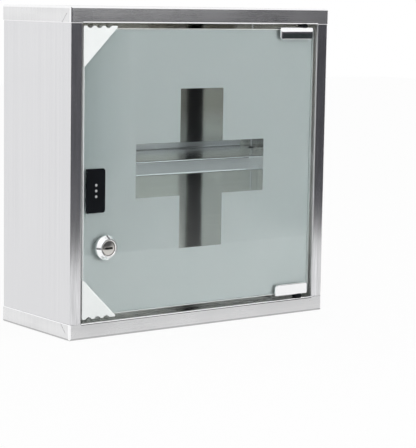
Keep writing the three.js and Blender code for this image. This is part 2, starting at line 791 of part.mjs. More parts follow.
SET_SCREW_PLACES.forEach((along, i) => {
  const x = hingeLeft + along;
  const tip = slotRear;
  const end = clampRear + SET_SCREW_PROUD;
  const radius = SET_SCREW_DIAMETER / 2;
  const shank = [
    [0, tip],
    [radius - SET_SCREW_CHAMFER, tip],
    [radius, tip + SET_SCREW_CHAMFER],
    [radius, end - SET_SCREW_CHAMFER],
    [radius - SET_SCREW_CHAMFER, end],
    [0, end],
  ];
  const socketFoot = end - HEX_SOCKET_DEPTH;
  const socket = cylinderY(x, setScrewLevel, HEX_SOCKET_RADIUS, socketFoot, end + SPARE, 6);
  const screw = cut(turnedY(shank, x, setScrewLevel, 20), socket);
  add(`hinge_screw_top_${i + 1}`, screw, PIN_STEEL);
  add(`hinge_screw_bottom_${i + 1}`, mirrored(screw, 'z', GLASS_MIDDLE), PIN_STEEL);
});

// Pin and bush of one hinge, for the gap between the glass edge and the rail
function hingePin(gap) {
  const foot = slotTop + SNUG;
  const end = GLASS_TOP + gap + BUSH_RISE - 1.5 * BUSH_END_WALL;
  const radius = PIN_DIAMETER / 2;
  const chamfer = radius * 0.28;
  const profile = [
    [0, foot],
    [radius, foot],
    [radius, end - chamfer],
    [radius - chamfer, end],
    [0, end],
  ];
  return turnedZ(profile, PIVOT_X, PIVOT_Y);
}

function hingeBush(gap) {
  const foot = clampTop + RUNNING;
  const rail = GLASS_TOP + gap;
  const end = rail + BUSH_RISE;
  const bore = PIN_DIAMETER / 2 + EASY;
  const profile = [
    [bore, foot],
    [COLLAR_DIAMETER / 2, foot],
    [COLLAR_DIAMETER / 2, rail - SNUG],
    [BUSH_DIAMETER / 2, rail - SNUG],
    [BUSH_DIAMETER / 2, end],
    [0, end],
    [0, end - BUSH_END_WALL],
    [bore, end - BUSH_END_WALL],
    [bore, foot],
  ];
  return turnedZ(profile, PIVOT_X, PIVOT_Y);
}

add('hinge_pin_top', hingePin(DOOR_TOP_GAP), PIN_STEEL);
add('hinge_pin_bottom', mirrored(hingePin(DOOR_BOTTOM_GAP), 'z', GLASS_MIDDLE), PIN_STEEL);
add('hinge_bush_top', hingeBush(DOOR_TOP_GAP), BLACK_PLASTIC);
add('hinge_bush_bottom', mirrored(hingeBush(DOOR_BOTTOM_GAP), 'z', GLASS_MIDDLE), BLACK_PLASTIC);

// Lock: barrel through the glass, held by a nut, with a turning plug and cam
const headRear = GLASS_FRONT - SNUG - GASKET - SNUG;
const headFront = GLASS_FRONT - LOCK_PROUD;
const camFront = RETURN_END + CAM_CLEARANCE;
const camRear = camFront + CAM_THICKNESS;
const barrelRear = camFront - RUNNING;
const barrelRadius = BARREL_DIAMETER / 2;
const boreRadius = PLUG_DIAMETER / 2 + EASY;
const bezelRadius = BEZEL_DIAMETER / 2;
const barrelProfile = [
  [boreRadius, barrelRear],
  [barrelRadius - LIP, barrelRear],
  [barrelRadius, barrelRear - LIP],
  [barrelRadius, headRear],
  [bezelRadius, headRear],
  [bezelRadius, headRear - BEZEL_BAND],
  [bezelRadius - BEZEL_CHAMFER, headRear - BEZEL_BAND - BEZEL_CHAMFER],
  [barrelRadius, headFront + LIP],
  [barrelRadius - LIP, headFront],
  [boreRadius + LIP, headFront],
  [boreRadius, headFront + LIP],
  [boreRadius, barrelRear],
];
const spannerSlots = [];
for (let i = 0; i < SPANNER_SLOTS; i += 1) {
  const slot = box(
    barrelRadius - LIP,
    bezelRadius + SPARE,
    headFront - SPARE,
    headRear - BEZEL_BAND,
    -SPANNER_SLOT / 2,
    SPANNER_SLOT / 2,
  );
  slot.rotateY((2 * Math.PI * i) / SPANNER_SLOTS);
  spannerSlots.push(slot.translate(LOCK_X, 0, LOCK_LEVEL));
}
const barrel = cut(turnedY(barrelProfile, LOCK_X, LOCK_LEVEL, 48), ...spannerSlots);
add('lock_barrel', barrel, CHROME);

const gasketProfile = [
  [barrelRadius + EASY, GLASS_FRONT - SNUG],
  [bezelRadius - LIP, GLASS_FRONT - SNUG],
  [bezelRadius - LIP, GLASS_FRONT - SNUG - GASKET],
  [barrelRadius + EASY, GLASS_FRONT - SNUG - GASKET],
  [barrelRadius + EASY, GLASS_FRONT - SNUG],
];
add('lock_gasket', turnedY(gasketProfile, LOCK_X, LOCK_LEVEL, 40), SOFT_RUBBER);

const nutRear = DOOR_REAR + NUT_THICKNESS;
const nutBlank = cylinderY(LOCK_X, LOCK_LEVEL, NUT_ACROSS_CORNERS / 2, DOOR_REAR, nutRear, 6);
const nutBore = cylinderY(
  LOCK_X,
  LOCK_LEVEL,
  barrelRadius + EASY,
  DOOR_REAR - SPARE,
  nutRear + SPARE,
  40,
);
add('lock_nut', cut(nutBlank, nutBore), PIN_STEEL);

const plugFront = headFront + PLUG_RECESS;
const plugRear = camFront - EASY;
const tangRear = camRear - SNUG;
const plugRadius = PLUG_DIAMETER / 2;
const plugBody = turnedY(
  [
    [0, plugRear],
    [plugRadius, plugRear],
    [plugRadius, plugFront + LIP],
    [plugRadius - LIP, plugFront],
    [0, plugFront],
  ],
  LOCK_X,
  LOCK_LEVEL,
);
const tang = box(
  LOCK_X - TANG / 2,
  LOCK_X + TANG / 2,
  plugRear - SPARE,
  tangRear,
  LOCK_LEVEL - TANG / 2,
  LOCK_LEVEL + TANG / 2,
);
const keySlot = box(
  LOCK_X - KEY_SLOT_WIDTH / 2,
  LOCK_X + KEY_SLOT_WIDTH / 2,
  plugFront - SPARE,
  plugFront + KEY_SLOT_DEPTH,
  LOCK_LEVEL - KEY_SLOT_HEIGHT / 2,
  LOCK_LEVEL + KEY_SLOT_HEIGHT / 2,
);
const camScrewRadius = CAM_SCREW_DIAMETER / 2;
const camScrewHole = cylinderY(
  LOCK_X,
  LOCK_LEVEL,
  camScrewRadius + EASY,
  tangRear - CAM_SCREW_LENGTH - LIP,
  tangRear + SPARE,
  20,
);
add('lock_plug', cut(join(plugBody, tang), keySlot, camScrewHole), CHROME);

const camHalf = CAM_WIDTH / 2;
const camTop = LOCK_LEVEL + CAM_HEEL;
const camTip = LOCK_LEVEL - CAM_LENGTH;
const camFace = outline(
  [
    [LOCK_X - camHalf, camTop, camHalf * 0.7],
    [LOCK_X - camHalf, camTip, camHalf * 0.5],
    [LOCK_X + camHalf, camTip, camHalf * 0.5],
    [LOCK_X + camHalf, camTop, camHalf * 0.7],
  ],
  6,
);
const tangHalf = TANG / 2 + EASY;
const tangRoom = box(
  LOCK_X - tangHalf,
  LOCK_X + tangHalf,
  camFront - SPARE,
  camRear + SPARE,
  LOCK_LEVEL - tangHalf,
  LOCK_LEVEL + tangHalf,
);
add('lock_cam', cut(alongY(camFace, camFront, camRear), tangRoom), ZINC);

// A cross recess for a screwdriver, as two boxes about a point
function crossRecess(reach, half, makeBox) {
  return [makeBox(reach, half), makeBox(half, reach)];
}

const screwSeat = camRear + SNUG;
const screwTip = tangRear - CAM_SCREW_LENGTH;
const camHead = CAM_SCREW_HEAD / 2;
const camScrewProfile = [
  [0, screwTip],
  [camScrewRadius - LIP, screwTip],
  [camScrewRadius, screwTip + LIP],
  [camScrewRadius, screwSeat],
  [camHead, screwSeat],
  [camHead, screwSeat + CAM_SCREW_HEAD_HEIGHT * 0.4],
  [camHead * 0.8, screwSeat + CAM_SCREW_HEAD_HEIGHT * 0.85],
  [camHead * 0.45, screwSeat + CAM_SCREW_HEAD_HEIGHT],
  [0, screwSeat + CAM_SCREW_HEAD_HEIGHT],
];
const camScrewBody = turnedY(camScrewProfile, LOCK_X, LOCK_LEVEL, 28);
const camRecess = crossRecess(camHead / 2, LIP, (across, up) =>
  box(
    LOCK_X - across,
    LOCK_X + across,
    screwSeat + CAM_SCREW_HEAD_HEIGHT / 2,
    screwSeat + CAM_SCREW_HEAD_HEIGHT + SPARE,
    LOCK_LEVEL - up,
    LOCK_LEVEL + up,
  ),
);
add('lock_cam_screw', cut(camScrewBody, ...camRecess), PIN_STEEL);

// Push latch: bracket on the left wall, housing, plunger with magnet, spring
const magnetFront = strikeRear + RUNNING;
const plungerFront = magnetFront + MAGNET_PROUD;
const housingFront = plungerFront + PLUNGER_SHOWN;
const housingRear = housingFront + LATCH_LENGTH;
const housingLow = PUSH_LEVEL - LATCH_TALL / 2;
const housingHigh = PUSH_LEVEL + LATCH_TALL / 2;
const plungerRadius = PLUNGER_DIAMETER / 2;
const latchBore = plungerRadius + RUNNING;
const boreEnd = housingRear - LATCH_END_WALL;
const tabTop = housingLow - SNUG;
const tabLow = tabTop - BRACKET_SHEET;
const latchScrewPlaces = [
  ['front', housingFront + LATCH_SCREW_PLACES[0]],
  ['rear', housingFront + LATCH_SCREW_PLACES[1]],
];
const screwRadius = LATCH_SCREW_DIAMETER / 2;
const screwTop = PUSH_LEVEL - latchBore - 3 * RUNNING;
const housingFace = outline([
  [LATCH_X - LATCH_WIDTH / 2, housingLow, LATCH_CORNER],
  [LATCH_X + LATCH_WIDTH / 2, housingLow, LATCH_CORNER],
  [LATCH_X + LATCH_WIDTH / 2, housingHigh, LATCH_CORNER],
  [LATCH_X - LATCH_WIDTH / 2, housingHigh, LATCH_CORNER],
]);
const collar = cylinderY(
  LATCH_X,
  PUSH_LEVEL,
  LATCH_COLLAR_DIAMETER / 2,
  housingFront - LATCH_COLLAR_LENGTH,
  housingFront + SPARE,
  28,
);
const housingBody = join(alongY(housingFace, housingFront, housingRear), collar);
const plungerRoom = cylinderY(
  LATCH_X,
  PUSH_LEVEL,
  latchBore,
  housingFront - LATCH_COLLAR_LENGTH - SPARE,
  boreEnd,
);
const screwRooms = latchScrewPlaces.map(([, y]) =>
  cylinderZ(LATCH_X, y, screwRadius + EASY, housingLow - SPARE, screwTop + RUNNING, 20),
);
add('latch_housing', cut(housingBody, plungerRoom, ...screwRooms), WHITE_PLASTIC);

const bracketSection = foldedSheet(
  [
    [LATCH_X + LATCH_WIDTH / 2, tabTop],
    [-WALL_INSIDE + SNUG, tabTop],
    [-WALL_INSIDE + SNUG, tabTop - BRACKET_LEG],
  ],
  BRACKET_SHEET,
);
const bracketHoles = latchScrewPlaces.map(([, y]) =>
  cylinderZ(LATCH_X, y, screwRadius + EASY, tabLow - SPARE, tabTop + SPARE, 20),
);
const bracket = alongY(bracketSection, housingFront + BRACKET_INSET, housingRear - BRACKET_INSET);
add('latch_bracket', cut(bracket, ...bracketHoles), STEEL);

const screwHead = LATCH_SCREW_HEAD / 2;
for (const [place, y] of latchScrewPlaces) {
  const seat = tabLow - SNUG;
  const profile = [
    [0, seat - LATCH_SCREW_HEAD_HEIGHT],
    [screwHead * 0.62, seat - LATCH_SCREW_HEAD_HEIGHT * 0.9],
    [screwHead * 0.93, seat - LATCH_SCREW_HEAD_HEIGHT * 0.5],
    [screwHead, seat],
    [screwRadius, seat],
    [screwRadius, screwTop - LIP],
    [screwRadius - LIP, screwTop],
    [0, screwTop],
  ];
  const recess = crossRecess(screwHead * 0.6, RECESS_WIDTH / 2, (across, deep) =>
    box(
      LATCH_X - across,
      LATCH_X + across,
      y - deep,
      y + deep,
      seat - LATCH_SCREW_HEAD_HEIGHT - SPARE,
      seat - LATCH_SCREW_HEAD_HEIGHT / 2,
    ),
  );
  add(`latch_screw_${place}`, cut(turnedZ(profile, LATCH_X, y, 20), ...recess), PIN_STEEL);
}

const magnetRadius = MAGNET_DIAMETER / 2;
const cupFloor = plungerFront + MAGNET_CUP;
const plungerRear = plungerFront + PLUNGER_LENGTH;
const spigotRadius = SPIGOT_DIAMETER / 2;
const spigotRear = plungerRear + SPIGOT_LENGTH;
const plungerProfile = [
  [0, cupFloor],
  [magnetRadius + EASY, cupFloor],
  [magnetRadius + EASY, plungerFront],
  [plungerRadius - RUNNING, plungerFront],
  [plungerRadius, plungerFront + RUNNING],
  [plungerRadius, plungerRear],
  [spigotRadius, plungerRear],
  [spigotRadius, spigotRear],
  [0, spigotRear],
];
add('latch_plunger', turnedY(plungerProfile, LATCH_X, PUSH_LEVEL, 32), WHITE_PLASTIC);

const magnetProfile = [
  [0, cupFloor - SNUG],
  [magnetRadius, cupFloor - SNUG],
  [magnetRadius, magnetFront + RUNNING],
  [magnetRadius - RUNNING, magnetFront],
  [0, magnetFront],
];
add('latch_magnet', turnedY(magnetProfile, LATCH_X, PUSH_LEVEL, 28), MAGNET_METAL);

class Coil extends THREE.Curve {
  constructor(radius, from, to, turns) {
    super();
    Object.assign(this, { radius, from, to, turns });
  }

  getPoint(t, target = new THREE.Vector3()) {
    const angle = 2 * Math.PI * this.turns * t;
    return target.set(
      this.radius * Math.cos(angle),
      this.from + (this.to - this.from) * t,
      this.radius * Math.sin(angle),
    );
  }
}

const wireRadius = SPRING_WIRE_DIAMETER / 2;
const coil = new Coil(
  COIL_DIAMETER / 2,
  plungerRear + wireRadius + SNUG,
  boreEnd - wireRadius - SNUG,
  SPRING_TURNS,
);
const wireSides = 6;
const wirePoints = [];
for (let i = 0; i < wireSides; i += 1) {
  const angle = (2 * Math.PI * i) / wireSides;
  wirePoints.push(vec(wireRadius * Math.cos(angle), wireRadius * Math.sin(angle)));
}
const spring = new THREE.ExtrudeGeometry(new THREE.Shape(wirePoints), {
  steps: SPRING_TURNS * SPRING_STEPS_PER_TURN,
  extrudePath: coil,
});
add('latch_spring', spring.translate(LATCH_X, 0, PUSH_LEVEL), PIN_STEEL);

export default cabinet;
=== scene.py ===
import json
import math

import bmesh
import bpy
from mathutils import Matrix, Vector

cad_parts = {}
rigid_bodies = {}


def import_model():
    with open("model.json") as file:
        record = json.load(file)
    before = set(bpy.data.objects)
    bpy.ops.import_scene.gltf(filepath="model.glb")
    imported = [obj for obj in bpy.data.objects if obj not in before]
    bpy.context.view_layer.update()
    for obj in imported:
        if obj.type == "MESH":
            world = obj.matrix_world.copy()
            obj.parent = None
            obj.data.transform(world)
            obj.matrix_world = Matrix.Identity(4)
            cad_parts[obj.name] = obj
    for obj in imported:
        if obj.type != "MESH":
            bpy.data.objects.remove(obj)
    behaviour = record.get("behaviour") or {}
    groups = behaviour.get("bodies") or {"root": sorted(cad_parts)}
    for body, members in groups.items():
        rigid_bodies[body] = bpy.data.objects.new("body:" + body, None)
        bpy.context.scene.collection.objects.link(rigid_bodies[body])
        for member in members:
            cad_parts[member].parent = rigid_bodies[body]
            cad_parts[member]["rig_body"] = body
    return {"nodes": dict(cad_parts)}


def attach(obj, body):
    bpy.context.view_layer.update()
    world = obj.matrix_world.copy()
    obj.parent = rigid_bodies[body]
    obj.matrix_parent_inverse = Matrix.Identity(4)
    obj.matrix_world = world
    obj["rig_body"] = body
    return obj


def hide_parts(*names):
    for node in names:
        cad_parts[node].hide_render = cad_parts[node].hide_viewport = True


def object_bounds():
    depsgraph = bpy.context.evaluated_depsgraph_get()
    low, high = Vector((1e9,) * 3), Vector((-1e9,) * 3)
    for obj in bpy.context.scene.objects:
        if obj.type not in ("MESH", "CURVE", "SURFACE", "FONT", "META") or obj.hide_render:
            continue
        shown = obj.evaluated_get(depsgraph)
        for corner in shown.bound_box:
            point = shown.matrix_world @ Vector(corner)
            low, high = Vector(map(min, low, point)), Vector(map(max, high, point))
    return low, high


MM = 0.001
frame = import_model()
cad_low, cad_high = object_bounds()
nodes = frame["nodes"]
scene = bpy.context.scene
scene.view_settings.view_transform = "Standard"


# Camera at the photograph's viewing angle
CAMERA_PLACE = Vector((-957.27, -1324.81, 306.17)) * MM
CAMERA_YAW = 0.649819
CAMERA_PITCH = 0.130996
CAMERA_ROLL = 0.0164682
FOCAL_PIXELS = 1692.33
IMAGE_LONG_SIDE = 448
SENSOR = 36.0


def make_camera():
    forward = Vector(
        (
            math.sin(CAMERA_YAW) * math.cos(CAMERA_PITCH),
            math.cos(CAMERA_YAW) * math.cos(CAMERA_PITCH),
            -math.sin(CAMERA_PITCH),
        )
    )
    level = Vector((math.cos(CAMERA_YAW), -math.sin(CAMERA_YAW), 0.0))
    upright = level.cross(forward)
    right = level * math.cos(CAMERA_ROLL) + upright * math.sin(CAMERA_ROLL)
    up = upright * math.cos(CAMERA_ROLL) - level * math.sin(CAMERA_ROLL)
    lens = bpy.data.cameras.new("camera")
    lens.sensor_width = SENSOR
    lens.lens = SENSOR * FOCAL_PIXELS / IMAGE_LONG_SIDE
    lens.clip_start = 0.05
    lens.clip_end = 50.0
    camera = bpy.data.objects.new("camera", lens)
    turn = Matrix((right, up, -forward)).transposed().to_4x4()
    camera.matrix_world = Matrix.Translation(CAMERA_PLACE) @ turn
    scene.collection.objects.link(camera)
    scene.camera = camera


make_camera()


# Small helpers for node trees
class Tree:
    """A node tree, and short ways to add nodes to it."""

    def __init__(self, tree):
        self.nodes = tree.nodes
        self.links = tree.links

    def add(self, kind, sockets=None, **settings):
        made = self.nodes.new("ShaderNode" + kind)
        for key, value in settings.items():
            setattr(made, key, value)
        for key, value in (sockets or {}).items():
            self.feed(made.inputs[key], value)
        return made

    def feed(self, socket, value):
        if isinstance(value, bpy.types.NodeSocket):
            self.links.new(value, socket)
        else:
            socket.default_value = value

    def place(self):
        return self.add("TexCoord").outputs["Object"]

    def split(self, vector):
        return self.add("SeparateXYZ", {"Vector": vector}).outputs

    def stretched(self, vector, scale):
        return self.add("Mapping", {"Vector": vector, "Scale": scale}).outputs["Vector"]

    def noise(self, vector, scale, detail=3.0, rough=0.5):
        sockets = {"Vector": vector, "Scale": scale, "Detail": detail, "Roughness": rough}
        return self.add("TexNoise", sockets).outputs["Fac"]

    def span(self, value, low, high, to_low=0.0, to_high=1.0):
        sockets = {
            "Value": value,
            "From Min": low,
            "From Max": high,
            "To Min": to_low,
            "To Max": to_high,
        }
        return self.add("MapRange", sockets).outputs["Result"]

    def blend(self, amount, first, second):
        made = self.add("Mix", data_type="RGBA")
        self.feed(made.inputs[0], amount)
        self.feed(made.inputs[6], first)
        self.feed(made.inputs[7], second)
        return made.outputs[2]

    def blend_vectors(self, amount, first, second):
        made = self.add("Mix", data_type="VECTOR")
        self.feed(made.inputs[0], amount)
        self.feed(made.inputs[4], first)
        self.feed(made.inputs[5], second)
        return made.outputs[1]

    def scaled(self, colour, amount):
        made = self.add("VectorMath", operation="SCALE")
        self.feed(made.inputs["Vector"], colour)
        self.feed(made.inputs["Scale"], amount)
        return made.outputs["Vector"]

    def math(self, operation, first, second):
        made = self.add("Math", operation=operation)
        self.feed(made.inputs[0], first)
        self.feed(made.inputs[1], second)
        return made.outputs[0]


class Look(Tree):
    """A material with a Principled shader."""

    def __init__(self, name):
        self.material = bpy.data.materials.new(name)
        self.material.use_nodes = True
        super().__init__(self.material.node_tree)
        self.shader = self.nodes["Principled BSDF"]
        self.output = self.nodes["Material Output"]

    def set(self, **values):
        for key, value in values.items():
            self.feed(self.shader.inputs[key.replace("_", " ")], value)

    def bump(self, height, strength, distance, over=None):
        sockets = {"Height": height, "Strength": strength, "Distance": distance}
        if over:
            sockets["Normal"] = over
        return self.add("Bump", sockets).outputs["Normal"]

    def drift(self, amount, colour, share):
        """The colour, going down to a share of itself by the amount."""
        darker = [part * share for part in colour]
        return self.blend(amount, (*colour, 1.0), (*darker, 1.0))

    def mix_in(self, amount, other):
        """Shows another shader by the amount."""
        mix = self.add("MixShader", {"Fac": amount})
        self.links.new(self.shader.outputs[0], mix.inputs[1])
        self.links.new(other.outputs[0], mix.inputs[2])
        self.links.new(mix.outputs[0], self.output.inputs["Surface"])


def grey(value):
    return (value, value, value, 1.0)


# Ranges of a noise that are spread over a whole drift
NARROW = (0.35, 0.65)
WIDE = (0.3, 0.7)
PLATED = (0.35, 0.7)
SMUDGED = (0.4, 0.75)

GRAIN_SCALES = {
    "X": (14.0, 2600.0, 2600.0),
    "Y": (2600.0, 14.0, 2600.0),
    "Z": (2600.0, 2600.0, 14.0),
}
PATCH_SCALE = (350.0, 350.0, 18.0)
PAINTED_SHADE_HEIGHTS = (0.165, 0.2)
SIDEWAYS = 0.7
TONE_DRIFT = 0.03
BLUE_LOW = 0.98
BLUE_HIGH = 1.035
STEEL_WEAR = 0.03


def brushed_steel(
    name,
    grain,
    side_grain,
    spread_axis,
    tone=0.84,
    roughness=0.38,
    spread=0.8,
    warm=0.0,
    mottle=0.0,
    painted_shade=None,
):
    """Satin steel with streaks along one axis, and another axis on faces that look along X.

    The tone turns warmer by the share warm, and it drifts by the share mottle from patch to
    patch. A shade colour, where given, is painted shade that comes in above the shelf.
    """
    look = Look(name)
    place = look.place()
    facing = look.split(look.add("TexCoord").outputs["Normal"])
    sideways = look.math("GREATER_THAN", look.math("ABSOLUTE", facing["X"], 0.0), SIDEWAYS)
    along = look.stretched(place, GRAIN_SCALES[grain])
    along_side = look.stretched(place, GRAIN_SCALES[side_grain])
    streaks = look.blend_vectors(sideways, along, along_side)
    fine = look.noise(streaks, scale=1.0, detail=4.0, rough=0.6)
    broad = look.noise(streaks, scale=0.16, rough=0.55)
    cloud = look.noise(place, scale=16.0)
    half_fine = look.math("MULTIPLY", fine, 0.5)
    half_broad = look.math("MULTIPLY", broad, 0.5)
    low_tone = tone * (1.0 - TONE_DRIFT)
    high_tone = tone * (1.0 + TONE_DRIFT)
    colour = look.blend(
        look.span(look.math("ADD", half_fine, half_broad), *NARROW),
        (low_tone, low_tone, tone * (BLUE_LOW - warm), 1.0),
        (high_tone, high_tone, tone * (BLUE_HIGH - warm), 1.0),
    )
    if mottle:
        patches = look.noise(look.stretched(place, PATCH_SCALE), scale=1.0, rough=0.6)
        colour = look.scaled(colour, look.span(patches, *NARROW, 1.0 - mottle, 1.0 + mottle))
    # Painted shade: the given colour darkens the steel above the shelf, where the cabinet's
    # inside is shaded
    if painted_shade:
        shaded_upper = look.span(look.split(place)["Z"], *PAINTED_SHADE_HEIGHTS)
        colour = look.blend(shaded_upper, colour, painted_shade)
    rough = look.math(
        "ADD",
        look.span(fine, *WIDE, roughness - STEEL_WEAR, roughness + STEEL_WEAR),
        look.span(cloud, *WIDE, -STEEL_WEAR, STEEL_WEAR),
    )
    waves = look.bump(cloud, strength=0.25, distance=0.6 * MM)
    look.set(
        Base_Color=colour,
        Metallic=1.0,
        Roughness=rough,
        Anisotropic=spread,
        Tangent=look.add("Tangent", direction_type="RADIAL", axis=spread_axis).outputs[0],
        Normal=look.bump(fine, strength=0.05, distance=0.03 * MM, over=waves),
    )
    return look.material


def plain_metal(name, colour, roughness, wear=0.04, drift=0.86):
    """Plated or turned metal with fine speckle and a little wear."""
    look = Look(name)
    place = look.place()
    speckle = look.noise(place, scale=900.0, detail=4.0, rough=0.6)
    cloud = look.noise(place, scale=90.0)
    look.set(
        Base_Color=look.drift(look.span(cloud, *PLATED), colour, drift),
        Metallic=1.0,
        Roughness=look.span(speckle, *WIDE, roughness - wear, roughness + wear),
        Normal=look.bump(speckle, strength=0.08, distance=0.02 * MM),
    )
    return look.material


PLASTIC_WEAR = 0.06


def plastic(name, colour, roughness, grain_scale, relief, drift=0.92, shine=0.5, depth=0.0):
    """Moulded plastic with a fine grain and slight colour drift; light goes in by depth."""
    look = Look(name)
    place = look.place()
    grain = look.noise(place, scale=grain_scale, rough=0.6)
    cloud = look.noise(place, scale=60.0)
    look.set(
        Base_Color=look.drift(look.span(cloud, *NARROW), colour, drift),
        Roughness=look.span(grain, *WIDE, roughness - PLASTIC_WEAR, roughness + PLASTIC_WEAR),
        Specular_IOR_Level=shine,
        Normal=look.bump(grain, strength=relief, distance=0.05 * MM),
    )
    if depth:
        look.set(Subsurface_Weight=1.0, Subsurface_Radius=(1.0, 1.0, 1.0), Subsurface_Scale=depth)
    return look.material


def let_lamps_through(look, tint):
    """Shadow rays pass the material with the given tint."""
    clear = look.add("BsdfTransparent", {"Color": tint})
    look.mix_in(look.add("LightPath").outputs["Is Shadow Ray"], clear)


GLASS_TINT = (0.92, 0.985, 0.98, 1.0)
GLASS_SMUDGE = (0.93, 0.987, 0.983, 1.0)
GLASS_SHADOW = (0.96, 0.992, 0.99, 1.0)


def clear_glass(name):
    """Slightly green glass with faint smudges."""
    look = Look(name)
    smudge = look.noise(look.place(), scale=22.0, detail=4.0, rough=0.6)
    look.set(
        Base_Color=look.blend(look.span(smudge, *WIDE), GLASS_TINT, GLASS_SMUDGE),
        Roughness=look.span(smudge, *SMUDGED, 0.0, 0.04),
        IOR=1.5,
        Transmission_Weight=1.0,
    )
    let_lamps_through(look, GLASS_SHADOW)
    return look.material


GROUND_LOW = (0.88, 0.95, 0.93, 1.0)
GROUND_HIGH = (0.92, 0.97, 0.95, 1.0)
GROUND_SHADOW = (0.7, 0.78, 0.75, 1.0)


def ground_glass(name):
    """The ground edge of a pane: milky, slightly green."""
    look = Look(name)
    grit = look.noise(look.place(), scale=2200.0, rough=0.6)
    look.set(
        Base_Color=look.blend(look.span(grit, *WIDE), GROUND_LOW, GROUND_HIGH),
        Roughness=look.span(grit, *WIDE, 0.4, 0.6),
        IOR=1.5,
        Subsurface_Weight=1.0,
        Subsurface_Radius=(1.0, 1.0, 1.0),
        Subsurface_Scale=2.5 * MM,
        Normal=look.bump(grit, strength=0.2, distance=0.03 * MM),
    )
    let_lamps_through(look, GROUND_SHADOW)
    return look.material


# Painted shade on the frost: darker at the upper part of the handle side, where less light
# reaches it from behind
FROST_SHADE_ACROSS = (-0.13, -0.08)
FROST_SHADE_RISE = (0.125, 0.165)
FROST_LOW = (0.95, 0.98, 0.98, 1.0)
FROST_HIGH = (0.96, 0.985, 0.985, 1.0)
FROST_PAINTED_SHADE = (0.5, 0.535, 0.535, 1.0)
FROST_SHADOW = (0.3, 0.32, 0.32, 1.0)


def frosted(name):
    """Etched glass, with painted shade at the upper part of the handle side."""
    look = Look(name)
    place = look.place()
    mist = look.noise(place, scale=40.0)
    etch = look.noise(place, scale=3000.0, detail=2.0)
    misty = look.blend(look.span(mist, *WIDE), FROST_LOW, FROST_HIGH)
    spot = look.split(place)
    # Painted shade mask: the upper part of the handle side
    shade_at_handle = look.span(spot["X"], *FROST_SHADE_ACROSS, 1.0, 0.0)
    shaded_upper = look.span(spot["Z"], *FROST_SHADE_RISE)
    look.set(
        Base_Color=look.blend(look.math("MULTIPLY", shade_at_handle, shaded_upper), misty, FROST_PAINTED_SHADE),
        Roughness=look.span(etch, *WIDE, 0.4, 0.5),
        IOR=1.45,
        Specular_IOR_Level=0.0,
        Subsurface_Weight=1.0,
        Subsurface_Radius=(1.0, 1.0, 1.0),
        Subsurface_Scale=1.5 * MM,
        Normal=look.bump(etch, strength=0.1, distance=0.02 * MM),
    )
    let_lamps_through(look, FROST_SHADOW)
    return look.material


WALL = {"tone": 0.745, "roughness": 0.21, "spread": 0.7, "warm": -0.012}
# Painted shade for the inside of the back panel above the shelf
BACK_PAINTED_SHADE = (0.55, 0.52, 0.46, 1.0)

WALL_STEEL = brushed_steel("wall_steel", "Z", "Z", "Z", **WALL)
STILE_STEEL = brushed_steel("stile_steel", "Z", "Z", "Z", **WALL, mottle=0.11)
COVER_STEEL = brushed_steel("cover_steel", "X", "Z", "X", tone=0.8, roughness=0.29, spread=0.7)
COVER_BEND = brushed_steel("cover_bend", "X", "Z", "X", tone=0.95, roughness=0.07, spread=0.5)
# Painted shade: a darker copy of the cover steel for the bends round the underside
COVER_FOOT_PAINTED_SHADE = brushed_steel("cover_foot_painted_shade", "X", "Z", "X", tone=0.5, roughness=0.3, spread=0.5)
SILL_STEEL = brushed_steel("sill_steel", "X", "Z", "X", tone=0.45, roughness=0.24, spread=0.6)
BACK_STEEL = brushed_steel("back_steel", "X", "X", "X", roughness=0.17, spread=0.8)
BACK_INSIDE = brushed_steel(
    "back_inside",
    "X",
    "X",
    "X",
    tone=0.79,
    roughness=0.12,
    spread=0.9,
    warm=0.07,
    painted_shade=BACK_PAINTED_SHADE,
)
RETURN_STEEL = brushed_steel("return_steel", "Z", "Z", "Z", tone=0.72, roughness=0.34, spread=0.5)
INNER_STEEL = brushed_steel("inner_steel", "Z", "Z", "Z", tone=0.86, roughness=0.09, spread=0.3)
SHELF_STEEL = brushed_steel("shelf_steel", "X", "Y", "X", tone=0.84, roughness=0.32, spread=0.75)
SHELF_TOP = brushed_steel("shelf_top", "X", "Y", "X", tone=0.97, roughness=0.15, spread=0.7)
SHELF_BEND = brushed_steel("shelf_bend", "X", "Y", "X", tone=0.97, roughness=0.05, spread=0.3)
BRACKET_STEEL = brushed_steel("bracket_steel", "Y", "Y", "Y", roughness=0.28)

CHROME = plain_metal("chrome", (0.97, 0.975, 0.98), roughness=0.07, wear=0.02, drift=0.98)
ZINC = plain_metal("zinc", (0.62, 0.58, 0.47), roughness=0.36)
FIXING_STEEL = plain_metal("fixing_steel", (0.48, 0.49, 0.5), roughness=0.27)
PLUG_METAL = plain_metal("plug_metal", (0.64, 0.62, 0.59), roughness=0.09, wear=0.02, drift=0.95)
# Painted shade for the walls deep inside the key slot
KEY_SLOT_PAINTED_SHADE = plain_metal("key_slot_painted_shade", (0.012, 0.012, 0.013), roughness=0.5)
MAGNET = plain_metal("magnet_metal", (0.16, 0.165, 0.17), roughness=0.3)

CLEAR = clear_glass("clear_glass")
GROUND_EDGE = ground_glass("ground_edge")
FROST = frosted("frosted_glass")

